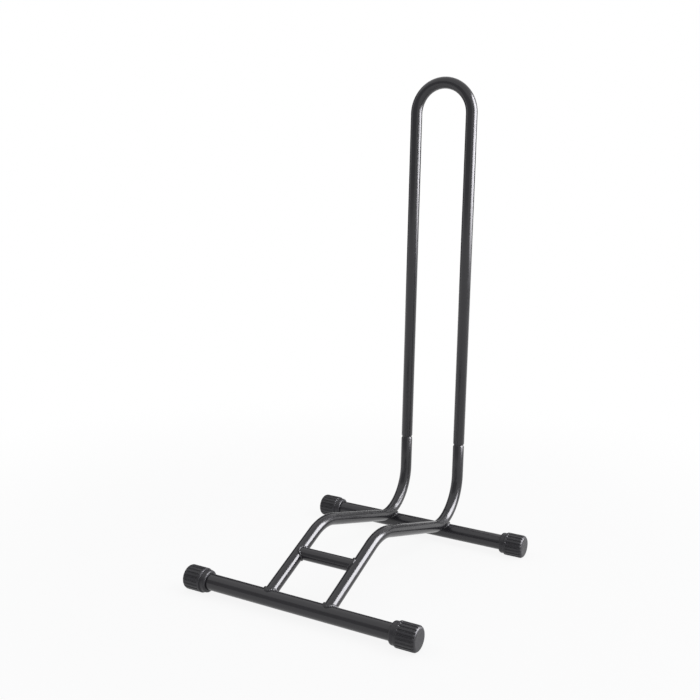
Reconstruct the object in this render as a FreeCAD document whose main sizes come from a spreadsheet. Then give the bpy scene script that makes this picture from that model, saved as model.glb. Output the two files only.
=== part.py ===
import FreeCAD, Part
import math
import os

import Sketcher

# Floor bike rack for one wheel, in millimetres.
#
# Two straight foot tubes lie across the rack, with a ribbed plastic cap on each end. Two bent rails join
# them: each rail climbs from the front foot tube, bends over a low hump, runs down to the rear foot tube,
# bends over it and ends in a short upright leg. A rung ties the rails together on the front slope. A tall
# hoop, which is one tube bent into a narrow upside-down U, stands on the two legs. A spigot in each leg
# holds it, and it lifts straight off for packing.
#
# +X is the rack's right side, +Y points to its rear (the hoop's end) and +Z is up. The origin lies on the
# floor under the middle of the whole rack.

SIZES = {
    # Tubes
    "tube_diameter": 17.0,  # rails and hoop, outside
    "tube_wall": 1.5,  # rails and hoop
    "foot_tube_diameter": 22.0,
    "foot_tube_wall": 1.5,
    "rung_diameter": 17.0,
    "rung_wall": 1.5,
    # Overall layout
    "overall_width": 345.0,  # over the outer ends of the caps
    "overall_height": 692.0,  # floor to the top of the hoop
    "foot_spacing": 345.0,  # between the axes of the two foot tubes
    "wheel_slot": 72.0,  # clear width between the rails, and between the hoop's legs
    "leg_setback": 38.0,  # the upright legs stand this far behind the rear foot tube's axis
    # Rails
    "front_slope_deg": 25.0,
    "rear_slope_deg": 15.0,
    "front_rise": 2.5,  # the front slope's axis passes this far above the front foot tube's axis
    "hump_bend_radius": 74.0,  # on the rail's axis
    "rear_bend_radius": 62.0,  # on the rail's axis
    "joint_height": 142.5,  # floor to where the hoop meets the legs
    "end_taper_depth": 1.3,  # the two tube ends at a joint taper in by this much ...
    "end_taper_length": 2.6,  # ... over this much of their length
    # Spigots
    "spigot_wall": 1.5,
    "spigot_reach": 45.0,  # up into the hoop
    "spigot_seat": 38.0,  # down into the leg
    "spigot_nose": 2.0,  # taper on the top end
    "slide_clearance": 0.1,  # radial, between the spigot and the hoop
    "press_clearance": 0.02,  # radial, where a piece is pressed in or pushed on to stay
    # Rung
    "rung_distance": 80.5,  # up the front slope, from above the front foot tube's axis
    "rung_end_setback": 3.0,  # from the rail's axis to the end of the rung
    # Caps
    "cap_diameter": 33.0,
    "cap_length": 36.0,
    "cap_body_length": 28.0,
    "cap_end_wall": 3.0,
    "cap_end_round": 3.5,
    "cap_rim_round": 0.8,
    "collar_diameter": 28.6,
    "collar_round": 1.8,
    "flute_count": 20,
    "flute_radius": 1.2,
    "flute_depth": 0.9,
    "flute_end": 24.5,  # from the outer end of the cap to where the flutes stop
    "rest_flat_depth": 0.15,  # taken off the lowest rib, which the rack rests on
    # Weld beads
    "weld_leg": 3.0,  # how far a bead runs along each tube from the corner that it fills
    "weld_crown": 2.0,  # how far a bead stands proud of the tubes
    "weld_root_gap": 0.3,  # between each rail and the rear foot tube under it, filled by the bead
    "crossing_weld_radius": 7.0,  # of the bead where a rail crosses the rear foot tube
    "crossing_weld_shift": 2.5,  # of that bead, to the rear along the rail
}

doc = FreeCAD.newDocument("floor_bike_rack")
sizes = doc.addObject("Spreadsheet::Sheet", "sizes")
for row, (alias, value) in enumerate(SIZES.items(), start=1):
    sizes.set(f"A{row}", alias)
    sizes.set(f"B{row}", str(value))
    sizes.setAlias(f"B{row}", alias)
doc.recompute()

# Sizes and places that follow from the driving ones, as expressions.
TUBE_R = "(sizes.tube_diameter / 2)"
BORE_R = f"({TUBE_R} - sizes.tube_wall)"
FOOT_R = "(sizes.foot_tube_diameter / 2)"
RUNG_R = "(sizes.rung_diameter / 2)"
CAP_R = "(sizes.cap_diameter / 2)"
CAP_X = "(sizes.overall_width / 2)"
RAIL_X = f"(sizes.wheel_slot / 2 + {TUBE_R})"
FOOT_Z = f"({CAP_R} - sizes.rest_flat_depth)"
FRONT_Y = f"(({CAP_R} - sizes.foot_spacing - sizes.leg_setback - {TUBE_R}) / 2)"
REAR_Y = f"({FRONT_Y} + sizes.foot_spacing)"
LEG_Y = f"({REAR_Y} + sizes.leg_setback)"
SLOPE_Z = f"({FOOT_Z} + sizes.front_rise)"
HOOP_BEND_Z = f"(sizes.overall_height - {TUBE_R} - {RAIL_X})"

# Each rail lies on the rear foot tube, so the centre of its rear bend is one bend radius, half of each
# tube and the weld's root gap away from the foot tube's axis.
REAR_BEND_Y = f"({LEG_Y} - sizes.rear_bend_radius)"
CROSSING = f"(sizes.rear_bend_radius + {TUBE_R} + {FOOT_R} + sizes.weld_root_gap)"
CROSSING_Y = "(sizes.rear_bend_radius - sizes.leg_setback)"
REAR_BEND_Z = f"({FOOT_Z} + sqrt({CROSSING} ^ 2 - {CROSSING_Y} ^ 2))"
CROSSING_TILT = f"(asin({CROSSING_Y} / {CROSSING}) / 1 deg)"

FRONT_SLOPE = "(sizes.front_slope_deg * 1 deg)"
RUNG_Y = f"({FRONT_Y} + sizes.rung_distance * cos({FRONT_SLOPE}))"
RUNG_Z = f"({SLOPE_Z} + sizes.rung_distance * sin({FRONT_SLOPE}))"


def value_of(expression):
    """The number that an expression over the sizes gives."""
    found = sizes.evalExpression(expression)
    return float(getattr(found, "Value", found))


def bind(thing, **expressions):
    """Bind properties of an object to expressions. Two underscores in a name stand for a dot."""
    for name, expression in expressions.items():
        thing.setExpression(name.replace("__", "."), expression)


def new_body(label, x="0", y="0", z="0"):
    """A body with its place bound to the sizes."""
    body = doc.addObject("PartDesign::Body", label)
    bind(body, Placement__Base__x=x, Placement__Base__y=y, Placement__Base__z=z)
    return body


def turn(thing, axis, angle):
    """Turn an object about an axis by an angle bound to an expression."""
    # A rotation keeps its axis only with an angle that isn't zero, so it starts at one degree.
    thing.Placement.Rotation = FreeCAD.Rotation(FreeCAD.Vector(*axis), 1)
    bind(thing, Placement__Rotation__Angle=angle)


def origin_feature(body, role):
    """The origin plane or axis of a body that has this role."""
    return next(feature for feature in body.Origin.OriginFeatures if feature.Role == role)


def new_sketch(body, name, plane, lift=None):
    """A sketch on one of the body's origin planes, or lifted off it by an expression."""
    sketch = body.newObject("Sketcher::SketchObject", name)
    sketch.AttachmentSupport = (origin_feature(body, plane), "")
    sketch.MapMode = "FlatFace"
    if lift:
        bind(sketch, AttachmentOffset__Base__z=lift)
    return sketch


def constrain(sketch, name, expression, *terms):
    """Add a dimension to a sketch and bind it to an expression."""
    number = sketch.addConstraint(Sketcher.Constraint(*terms, value_of(expression)))
    sketch.renameConstraint(number, name)
    sketch.setExpression(f"Constraints.{name}", expression)


def place_point(sketch, name, geometry, corner, across, up):
    """Hold a point of a sketch at two expressions, measured from the sketch's origin."""
    for kind, axis, distance in (("DistanceX", -2, across), ("DistanceY", -1, up)):
        if distance == "0":
            sketch.addConstraint(Sketcher.Constraint("PointOnObject", geometry, corner, axis))
        else:
            constrain(sketch, f"{name}_{kind[-1].lower()}", distance, kind, -1, 1, geometry, corner)


def add_circle(sketch, name, across, up, radius):
    centre = FreeCAD.Vector(value_of(across), value_of(up), 0)
    circle = Part.Circle(centre, FreeCAD.Vector(0, 0, 1), value_of(radius))
    number = sketch.addGeometry(circle)
    place_point(sketch, name, number, 3, across, up)
    constrain(sketch, f"{name}_radius", radius, "Radius", number)


def add_ring(sketch, across, up, radius, wall):
    """The section of a tube: two circles on one centre."""
    add_circle(sketch, "outside", across, up, radius)
    add_circle(sketch, "inside", across, up, f"({radius} - {wall})")


def add_outline(sketch, corners):
    """A closed outline of straight lines through corners that are pairs of expressions."""
    points = [FreeCAD.Vector(value_of(across), value_of(up), 0) for across, up in corners]
    first = sketch.GeometryCount
    for start, end in zip(points, points[1:] + points[:1]):
        sketch.addGeometry(Part.LineSegment(start, end))
    for number, (across, up) in enumerate(corners):
        previous = first + (number - 1) % len(corners)
        sketch.addConstraint(Sketcher.Constraint("Coincident", previous, 2, first + number, 1))
        place_point(sketch, f"corner{number}", first + number, 1, across, up)


def new_pad(body, name, profile, length):
    """A pad of a profile, half of its length on each side of the sketch."""
    pad = body.newObject("PartDesign::Pad", name)
    pad.Profile = profile
    pad.SideType = "Symmetric"
    bind(pad, Length=length)
    return pad


def new_pipe(body, name, profile, path):
    pipe = body.newObject("PartDesign::AdditivePipe", name)
    pipe.Profile = profile
    pipe.Spine = path
    return pipe


def cut(feature):
    """Recompute a cutting feature and make sure that it took something away."""
    before = feature.BaseFeature.Shape.Volume
    doc.recompute()
    if not feature.Shape.Volume < before - 1e-3:
        raise RuntimeError(f"{feature.Label} of {feature.getParentGeoFeatureGroup().Label} cuts nothing")
    return feature


def cut_through(body, name, profile):
    """Pocket a profile right through the body, both ways."""
    pocket = body.newObject("PartDesign::Pocket", name)
    pocket.Profile = profile
    pocket.Type = "ThroughAll"
    pocket.Midplane = True
    return cut(pocket)


def cut_around(body, name, profile, axis):
    """Turn a profile round an axis of its sketch and take it away."""
    groove = body.newObject("PartDesign::Groove", name)
    groove.Profile = profile
    groove.ReferenceAxis = (profile, [axis])
    groove.Angle = 360
    return cut(groove)


def edge_names(shape, along, radius):
    """Names of the circular edges of a turned shape at one distance along +X and of one radius."""
    names = []
    for number, edge in enumerate(shape.Edges, start=1):
        curve = edge.Curve
        if not isinstance(curve, Part.Circle):
            continue
        if abs(curve.Center.x - along) < 1e-4 and abs(curve.Radius - radius) < 1e-4:
            names.append(f"Edge{number}")
    return names


def new_round(body, name, along, corner, radius):
    """Round the circular edge of a turned body that lies at two expressions, along X and out from it."""
    base = body.Tip
    fillet = body.newObject("PartDesign::Fillet", name)
    fillet.Base = (base, edge_names(base.Shape, value_of(along), value_of(corner)))
    bind(fillet, Radius=radius)
    doc.recompute()
    return fillet


def make_foot_tube(label, y):
    body = new_body(label, y=y, z=FOOT_Z)
    section = new_sketch(body, f"{label}_section", "YZ_Plane")
    add_ring(section, "0", "0", FOOT_R, "sizes.foot_tube_wall")
    new_pad(body, f"{label}_run", section, "sizes.overall_width - 2 * sizes.cap_end_wall")
    return body


def add_rail_path(sketch):
    """Front slope, hump, rear slope, rear bend and leg, as lines and arcs that run into each other."""
    front_angle = math.radians(value_of("sizes.front_slope_deg"))
    rear_angle = math.radians(value_of("sizes.rear_slope_deg"))
    start = FreeCAD.Vector(value_of(FRONT_Y), value_of(SLOPE_Z), 0)
    bend = FreeCAD.Vector(value_of(REAR_BEND_Y), value_of(REAR_BEND_Z), 0)
    hump_radius = value_of("sizes.hump_bend_radius")
    bend_radius = value_of("sizes.rear_bend_radius")
    up_slope = FreeCAD.Vector(math.cos(front_angle), math.sin(front_angle), 0)
    down_slope = FreeCAD.Vector(math.cos(rear_angle), -math.sin(rear_angle), 0)

    # The slopes meet at the hump's corner, which the hump's arc cuts off at equal distances.
    foot_of_slope = bend + FreeCAD.Vector(-math.sin(rear_angle), -math.cos(rear_angle), 0) * bend_radius
    reach = foot_of_slope - start
    spread = math.sin(front_angle + rear_angle)
    climb = (reach.x * math.sin(rear_angle) + reach.y * math.cos(rear_angle)) / spread
    corner = start + up_slope * climb
    trim = hump_radius * math.tan((front_angle + rear_angle) / 2)
    hump_start = corner - up_slope * trim
    hump_end = corner + down_slope * trim
    hump = hump_start + FreeCAD.Vector(math.sin(front_angle), -math.cos(front_angle), 0) * hump_radius

    normal = FreeCAD.Vector(0, 0, 1)
    right = math.pi / 2
    over_hump = Part.Circle(hump, normal, hump_radius)
    hump_arc = Part.ArcOfCircle(over_hump, right - rear_angle, right + front_angle)
    bend_arc = Part.ArcOfCircle(Part.Circle(bend, normal, bend_radius), -right - rear_angle, 0)
    leg_foot = bend + FreeCAD.Vector(bend_radius, 0, 0)
    leg_top = FreeCAD.Vector(leg_foot.x, value_of("sizes.joint_height"), 0)

    front = sketch.addGeometry(Part.LineSegment(start, hump_start))
    over = sketch.addGeometry(hump_arc)
    rear = sketch.addGeometry(Part.LineSegment(hump_end, foot_of_slope))
    under = sketch.addGeometry(bend_arc)
    leg = sketch.addGeometry(Part.LineSegment(leg_foot, leg_top))
    for one, its_end, other, other_end in (
        (front, 2, over, 2),
        (over, 1, rear, 1),
        (rear, 2, under, 1),
        (under, 2, leg, 1),
    ):
        sketch.addConstraint(Sketcher.Constraint("Tangent", one, its_end, other, other_end))
    sketch.addConstraint(Sketcher.Constraint("Vertical", leg))
    place_point(sketch, "start", front, 1, FRONT_Y, SLOPE_Z)
    place_point(sketch, "rear_bend", under, 3, REAR_BEND_Y, REAR_BEND_Z)
    constrain(sketch, "leg_top", "sizes.joint_height", "DistanceY", -1, 1, leg, 2)
    constrain(sketch, "hump_radius", "sizes.hump_bend_radius", "Radius", over)
    constrain(sketch, "bend_radius", "sizes.rear_bend_radius", "Radius", under)
    for name, line, slope, sign in (("front_slope", front, "front", 1), ("rear_slope", rear, "rear", -1)):
        angle = sign * math.radians(value_of(f"sizes.{slope}_slope_deg"))
        number = sketch.addConstraint(Sketcher.Constraint("Angle", line, angle))
        sketch.renameConstraint(number, name)
        sketch.setExpression(f"Constraints.{name}", f"{sign} * sizes.{slope}_slope_deg * 1 deg")


def make_rail(label, x):
    """A rail, swept from the top of its leg to the front foot tube, which its lower end is coped to fit."""
    body = new_body(label, x=x)
    path = new_sketch(body, f"{label}_path", "YZ_Plane")
    add_rail_path(path)
    section = new_sketch(body, f"{label}_section", "XY_Plane", lift="sizes.joint_height")
    add_ring(section, "0", LEG_Y, TUBE_R, "sizes.tube_wall")
    doc.recompute()
    new_pipe(body, f"{label}_tube", section, path)
    doc.recompute()
    cope = new_sketch(body, f"{label}_cope_outline", "YZ_Plane")
    add_circle(cope, "foot_tube", FRONT_Y, FOOT_Z, FOOT_R)
    cut_through(body, f"{label}_cope", cope)

    # The taper is turned round the leg's axis, so its sketch stands in the leg's own plane.
    sketch = new_sketch(body, f"{label}_taper_outline", "XZ_Plane", lift=f"-1 * {LEG_Y}")
    add_taper_outline(sketch, "sizes.joint_height", -1)
    doc.recompute()
    cut_around(body, f"{label}_taper", sketch, "V_Axis")
    return body


def add_taper_outline(sketch, end, inward):
    """What is cut off the outside of a tube's end. The tube runs up from its end where inward is +1."""
    along, back = ("+", "-") if inward > 0 else ("-", "+")
    thin = f"({TUBE_R} - sizes.end_taper_depth)"
    outside = f"({TUBE_R} + sizes.tube_wall)"
    taper = f"({end} {along} sizes.end_taper_length)"
    beyond = f"({end} {back} sizes.tube_wall)"
    add_outline(sketch, [(thin, end), (TUBE_R, taper), (outside, taper), (outside, beyond), (thin, beyond)])


def make_hoop():
    """The hoop, one tube bent to a half circle as wide as the legs are apart."""
    body = new_body("hoop", y=LEG_Y)
    path = new_sketch(body, "hoop_path", "XZ_Plane")
    reach = value_of(RAIL_X)
    low = value_of("sizes.joint_height")
    high = value_of(HOOP_BEND_Z)
    bend = Part.Circle(FreeCAD.Vector(0, high, 0), FreeCAD.Vector(0, 0, 1), reach)
    left = path.addGeometry(Part.LineSegment(FreeCAD.Vector(-reach, low, 0), FreeCAD.Vector(-reach, high, 0)))
    over = path.addGeometry(Part.ArcOfCircle(bend, 0, math.pi))
    right = path.addGeometry(Part.LineSegment(FreeCAD.Vector(reach, high, 0), FreeCAD.Vector(reach, low, 0)))
    path.addConstraint(Sketcher.Constraint("Tangent", left, 2, over, 2))
    path.addConstraint(Sketcher.Constraint("Tangent", over, 1, right, 1))
    path.addConstraint(Sketcher.Constraint("Vertical", left))
    path.addConstraint(Sketcher.Constraint("Horizontal", left, 1, right, 2))
    place_point(path, "bend_centre", over, 3, "0", HOOP_BEND_Z)
    constrain(path, "bend_radius", RAIL_X, "Radius", over)
    constrain(path, "leg_end", "sizes.joint_height", "DistanceY", -1, 1, left, 1)
    section = new_sketch(body, "hoop_section", "XY_Plane", lift="sizes.joint_height")
    add_ring(section, f"(-1 * {RAIL_X})", "0", TUBE_R, "sizes.tube_wall")
    doc.recompute()
    new_pipe(body, "hoop_tube", section, path)
    doc.recompute()
    sketch = new_sketch(body, "hoop_taper_outline", "XZ_Plane")
    bind(sketch, AttachmentOffset__Base__x=RAIL_X)
    add_taper_outline(sketch, "sizes.joint_height", 1)
    doc.recompute()
    taper = cut_around(body, "hoop_taper", sketch, "V_Axis")
    both = body.newObject("PartDesign::Mirrored", "hoop_tapers")
    both.Originals = [taper]
    both.MirrorPlane = (origin_feature(body, "YZ_Plane"), [""])
    body.Tip = both
    return body


def make_spigot(label, x):
    """A short tube, pressed into the top of a leg, that stands up into the hoop."""
    body = new_body(label, x=x, y=LEG_Y, z="sizes.joint_height")
    outline = new_sketch(body, f"{label}_outline", "XZ_Plane")
    seat_radius = f"({BORE_R} - sizes.press_clearance)"
    slide_radius = f"({BORE_R} - sizes.slide_clearance)"
    bore_radius = f"({seat_radius} - sizes.spigot_wall)"
    nose_radius = f"({slide_radius} - sizes.spigot_nose / 2)"
    top = "sizes.spigot_reach"
    corners = [
        (bore_radius, "(-1 * sizes.spigot_seat)"),
        (seat_radius, "(-1 * sizes.spigot_seat)"),
        (seat_radius, "0"),
        (slide_radius, "0"),
        (slide_radius, f"({top} - sizes.spigot_nose)"),
        (nose_radius, top),
        (bore_radius, top),
    ]
    add_outline(outline, corners)
    turned = body.newObject("PartDesign::Revolution", f"{label}_turned")
    turned.Profile = outline
    turned.ReferenceAxis = (outline, ["V_Axis"])
    turned.Angle = 360
    return body


def make_rung():
    """The rung, coped to the rails. Its own Z axis lies along the rails' front slope."""
    body = new_body("rung", y=RUNG_Y, z=RUNG_Z)
    turn(body, (1, 0, 0), f"({FRONT_SLOPE} - 90 deg)")
    section = new_sketch(body, "rung_section", "YZ_Plane")
    add_ring(section, "0", "0", RUNG_R, "sizes.rung_wall")
    new_pad(body, "rung_run", section, f"2 * ({RAIL_X} - sizes.rung_end_setback)")
    doc.recompute()
    copes = new_sketch(body, "rung_cope_outline", "XY_Plane")
    add_circle(copes, "left", f"(-1 * {RAIL_X})", "0", TUBE_R)
    add_circle(copes, "right", RAIL_X, "0", TUBE_R)
    cut_through(body, "rung_copes", copes)
    return body


def make_cap(label, side, y):
    """A ribbed push-on cap. Its own X axis runs from its closed end towards the middle of the rack."""
    body = new_body(label, x=f"{side} * {CAP_X}", y=y, z=FOOT_Z)
    if side > 0:
        turn(body, (0, 0, 1), "180 deg")
    collar_r = "(sizes.collar_diameter / 2)"
    bore_r = f"({FOOT_R} + sizes.press_clearance)"
    outline = new_sketch(body, f"{label}_outline", "XZ_Plane")
    corners = [
        ("0", "0"),
        ("0", CAP_R),
        ("sizes.cap_body_length", CAP_R),
        ("sizes.cap_body_length", collar_r),
        ("sizes.cap_length", collar_r),
        ("sizes.cap_length", bore_r),
        ("sizes.cap_end_wall", bore_r),
        ("sizes.cap_end_wall", "0"),
    ]
    add_outline(outline, corners)
    turned = body.newObject("PartDesign::Revolution", f"{label}_turned")
    turned.Profile = outline
    turned.ReferenceAxis = (outline, ["H_Axis"])
    turned.Angle = 360
    doc.recompute()
    new_round(body, f"{label}_end_round", "0", CAP_R, "sizes.cap_end_round")
    new_round(body, f"{label}_rim_round", "sizes.cap_body_length", CAP_R, "sizes.cap_rim_round")
    new_round(body, f"{label}_collar_round", "sizes.cap_length", collar_r, "sizes.collar_round")

    # The first flute lies half a step from the bottom, so that the cap rests on a rib.
    half_step = "(180 deg / sizes.flute_count)"
    flute_out = f"({CAP_R} + sizes.flute_radius - sizes.flute_depth)"
    section = new_sketch(body, f"{label}_flute_section", "YZ_Plane")
    add_circle(
        section,
        "flute",
        f"({flute_out} * sin({half_step}))",
        f"(-1 * {flute_out} * cos({half_step}))",
        "sizes.flute_radius",
    )
    flute = body.newObject("PartDesign::Pocket", f"{label}_flute")
    flute.Profile = section
    flute.Reversed = True
    bind(flute, Length="sizes.flute_end")
    cut(flute)
    flutes = body.newObject("PartDesign::PolarPattern", f"{label}_flutes")
    flutes.Originals = [flute]
    flutes.Axis = (origin_feature(body, "X_Axis"), [""])
    flutes.Angle = 360
    bind(flutes, Occurrences="sizes.flute_count")
    body.Tip = flutes
    doc.recompute()

    flat = new_sketch(body, f"{label}_flat_outline", "YZ_Plane")
    floor = f"(-1 * {FOOT_Z})"
    below = f"(-1 * {CAP_R} - sizes.cap_rim_round)"
    edge = f"(-1 * {CAP_R})"
    add_outline(flat, [(edge, floor), (CAP_R, floor), (CAP_R, below), (edge, below)])
    cut_through(body, f"{label}_rest_flat", flat)
    return body


def new_solid(kind, name, x, y, z, axis, angle, **lengths):
    """A Part primitive at bound coordinates, turned about an axis by a bound angle."""
    solid = doc.addObject(f"Part::{kind}", name)
    turn(solid, axis, angle)
    bind(solid, Placement__Base__x=x, Placement__Base__y=y, Placement__Base__z=z, **lengths)
    return solid


def across(kind, name, x, y, z, **lengths):
    """A primitive whose own Z axis lies along +X."""
    return new_solid(kind, name, x, y, z, (0, 1, 0), "90 deg", **lengths)


def along_slope(kind, name, x, y, z, **lengths):
    """A primitive whose own Z axis lies up the rails' front slope."""
    return new_solid(kind, name, x, y, z, (-1, 0, 0), f"90 deg - {FRONT_SLOPE}", **lengths)


def new_bead(label, shared, taken):
    """A weld bead: what several solids share, less the tubes that it joins."""
    common = doc.addObject("Part::MultiCommon", f"{label}_body")
    common.Shapes = shared
    bead = common
    for number, tube in enumerate(taken):
        last = number == len(taken) - 1
        outcome = doc.addObject("Part::Cut", label if last else f"{label}_cut")
        outcome.Base = bead
        outcome.Tool = tube
        bead = outcome
    return bead


def make_front_weld(label, x):
    """The bead round the foot of a rail, on the front foot tube."""
    proud = f"({TUBE_R} + sizes.weld_crown)"
    crown = f"({FOOT_R} + sizes.weld_crown)"
    top = f"({FOOT_R} + sizes.weld_leg)"
    start = f"({x} - 2 * {TUBE_R})"
    width = f"4 * {TUBE_R}"
    base = (x, FRONT_Y, SLOPE_Z)
    skirt_foot = f"{TUBE_R} + {top}"
    skirt = along_slope("Cone", f"{label}_skirt", *base, Radius1=skirt_foot, Radius2=TUBE_R, Height=top)
    sleeve = along_slope("Cylinder", f"{label}_sleeve", *base, Radius=proud, Height=f"2 * {top}")
    shell = across("Cylinder", f"{label}_shell", start, FRONT_Y, FOOT_Z, Radius=crown, Height=width)
    foot = across("Cylinder", f"{label}_foot", start, FRONT_Y, FOOT_Z, Radius=FOOT_R, Height=width)
    rail = along_slope("Cylinder", f"{label}_rail", *base, Radius=TUBE_R, Height=f"2 * {top}")
    return new_bead(label, [skirt, sleeve, shell], [foot, rail])


def make_rung_weld(label, x, side):
    """The bead round an end of the rung, on the inner side of a rail."""
    end = f"({RAIL_X} - sizes.rung_end_setback)"
    wide = f"({RUNG_R} + sizes.weld_leg)"
    skirt = new_solid(
        "Cone",
        f"{label}_skirt",
        f"{side} * {end}",
        RUNG_Y,
        RUNG_Z,
        (0, 1, 0),
        f"{-side} * 90 deg",
        Radius1=wide,
        Radius2=RUNG_R,
        Height=f"{TUBE_R} + sizes.weld_leg - sizes.rung_end_setback",
    )
    low = (x, f"({RUNG_Y} - {wide} * cos({FRONT_SLOPE}))", f"({RUNG_Z} - {wide} * sin({FRONT_SLOPE}))")
    run = f"2 * {wide}"
    crown = f"{TUBE_R} + sizes.weld_crown"
    shell = along_slope("Cylinder", f"{label}_shell", *low, Radius=crown, Height=run)
    rail = along_slope("Cylinder", f"{label}_rail", *low, Radius=TUBE_R, Height=run)
    start = f"-1 * {end}"
    rung = across("Cylinder", f"{label}_rung", start, RUNG_Y, RUNG_Z, Radius=RUNG_R, Height=f"2 * {end}")
    return new_bead(label, [skirt, shell], [rail, rung])


def make_crossing_weld(label, x):
    """The bead in the crevice all round the spot where a rail crosses the rear foot tube."""
    shift_y = f"sizes.crossing_weld_shift * cos({CROSSING_TILT} * 1 deg)"
    shift_z = f"sizes.crossing_weld_shift * sin({CROSSING_TILT} * 1 deg)"
    core = new_solid(
        "Cylinder",
        f"{label}_core",
        x,
        f"{REAR_Y} + {shift_y}",
        f"{FOOT_Z} + {shift_z}",
        (1, 0, 0),
        f"{CROSSING_TILT} * 1 deg",
        Radius="sizes.crossing_weld_radius",
        Height=f"{FOOT_R} + {TUBE_R}",
    )
    start = f"({x} - 2 * {TUBE_R})"
    width = f"4 * {TUBE_R}"
    crown = f"{FOOT_R} + sizes.weld_leg"
    shell = across("Cylinder", f"{label}_shell", start, REAR_Y, FOOT_Z, Radius=crown, Height=width)
    foot = across("Cylinder", f"{label}_foot", start, REAR_Y, FOOT_Z, Radius=FOOT_R, Height=width)
    bend = (x, REAR_BEND_Y, REAR_BEND_Z)
    rail = across("Torus", f"{label}_rail", *bend, Radius1="sizes.rear_bend_radius", Radius2=TUBE_R)
    return new_bead(label, [core, shell], [foot, rail])


nodes = [
    make_foot_tube("front_foot_tube", FRONT_Y),
    make_foot_tube("rear_foot_tube", REAR_Y),
    make_rung(),
    make_hoop(),
]
for name, side in (("left", -1), ("right", 1)):
    rail_x = f"({side} * {RAIL_X})"
    nodes.append(make_rail(f"rail_{name}", rail_x))
    nodes.append(make_spigot(f"spigot_{name}", rail_x))
    nodes.append(make_cap(f"cap_front_{name}", side, FRONT_Y))
    nodes.append(make_cap(f"cap_rear_{name}", side, REAR_Y))
    nodes.append(make_front_weld(f"weld_front_{name}", rail_x))
    nodes.append(make_rung_weld(f"weld_rung_{name}", rail_x, side))
    nodes.append(make_crossing_weld(f"weld_rear_{name}", rail_x))
doc.recompute()

for item in doc.Objects:
    if "Invalid" in item.State or "Error" in item.State:
        raise RuntimeError(f"{item.Label} failed: {item.getStatusString()}")
for node in nodes:
    if node.Shape.isNull() or not node.Shape.isValid() or len(node.Shape.Solids) != 1:
        raise RuntimeError(f"{node.Label} is not one valid solid")

os.makedirs("parts", exist_ok=True)
for node in nodes:
    node.Shape.exportStep(f"parts/{node.Label}.step")
    box = node.Shape.BoundBox
    low = f"{box.XMin:.1f} {box.YMin:.1f} {box.ZMin:.1f}"
    high = f"{box.XMax:.1f} {box.YMax:.1f} {box.ZMax:.1f}"
    print(f"{node.Label}: {node.Shape.Volume:.0f} mm3, from {low} to {high}")
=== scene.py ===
# %% [markdown]
# # A floor bike rack in powder-coated tube
# The rack holds one bicycle wheel. Two bent rails join two straight foot tubes, a rung ties the rails
# together, and a tall hoop stands on two short legs, where spigots hold it. Ribbed plastic caps close the
# foot tubes. The frame was welded first and coated afterwards, so one dark grey skin runs over its tubes and
# its beads alike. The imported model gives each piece's place, and this lesson gives it its looks.

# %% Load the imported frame
import math

import bmesh
import bpy
from mathutils import Matrix, Vector


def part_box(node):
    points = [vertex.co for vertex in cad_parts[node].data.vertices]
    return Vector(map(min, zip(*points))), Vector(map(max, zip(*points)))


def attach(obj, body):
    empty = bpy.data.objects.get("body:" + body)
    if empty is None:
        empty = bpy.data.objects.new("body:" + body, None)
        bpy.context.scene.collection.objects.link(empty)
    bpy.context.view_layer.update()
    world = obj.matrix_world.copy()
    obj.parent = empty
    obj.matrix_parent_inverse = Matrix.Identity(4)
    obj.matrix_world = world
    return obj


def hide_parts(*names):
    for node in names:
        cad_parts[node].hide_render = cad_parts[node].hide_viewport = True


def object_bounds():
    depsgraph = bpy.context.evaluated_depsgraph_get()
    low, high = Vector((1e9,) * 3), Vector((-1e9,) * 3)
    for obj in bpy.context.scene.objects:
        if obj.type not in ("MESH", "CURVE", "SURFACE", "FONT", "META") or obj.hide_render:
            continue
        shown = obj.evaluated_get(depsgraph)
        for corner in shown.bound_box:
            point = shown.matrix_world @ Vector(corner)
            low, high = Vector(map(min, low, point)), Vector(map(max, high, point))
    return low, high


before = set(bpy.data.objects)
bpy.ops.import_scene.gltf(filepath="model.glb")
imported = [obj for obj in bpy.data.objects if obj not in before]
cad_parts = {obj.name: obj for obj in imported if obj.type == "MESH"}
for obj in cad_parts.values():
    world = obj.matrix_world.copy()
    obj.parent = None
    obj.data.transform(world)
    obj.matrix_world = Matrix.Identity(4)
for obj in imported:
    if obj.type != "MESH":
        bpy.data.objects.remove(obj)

MM = 0.001  # metres in a millimetre
CAD_BOX = [list(corner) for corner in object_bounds()]
print("CAD box in mm:", [[round(value / MM, 1) for value in corner] for corner in CAD_BOX])

# %% [markdown]
# ## Three small helpers
# Shader trees and geometry trees are built in the same way: add a node, set its properties, then give each
# input a value or a link. One function does that for every kind of node, so the rest of the lesson reads
# like a list of nodes. A second one does sums with Math nodes, and a third turns the hex colours that
# designers write into the linear values that shaders add up.


# %% Helper: add a node
def add_node(tree, kind, inputs=None, **settings):
    """Add a node, set its properties, and give each input in the dictionary a value or a link."""
    made = tree.nodes.new(kind)
    for name, value in settings.items():
        setattr(made, name, value)
    for key, value in (inputs or {}).items():
        if isinstance(value, bpy.types.NodeSocket):
            tree.links.new(value, made.inputs[key])
        else:
            made.inputs[key].default_value = value
    return made


# %% Helper: a calculation
def maths(tree, operation, *values):
    """Add a Math node that works on these values or links, and give back its result."""
    return add_node(tree, "ShaderNodeMath", dict(enumerate(values)), operation=operation).outputs[0]


# %% Helper: sRGB hex to linear
def linear(hex_colour):
    """Turn an sRGB hex colour into linear red, green, blue and an alpha of one."""
    channels = [int(hex_colour[start : start + 2], 16) / 255 for start in (1, 3, 5)]
    return [c / 12.92 if c <= 0.04045 else ((c + 0.055) / 1.055) ** 2.4 for c in channels] + [1.0]


print("charcoal in linear values:", [round(channel, 4) for channel in linear("#2b2a2f")])

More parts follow.
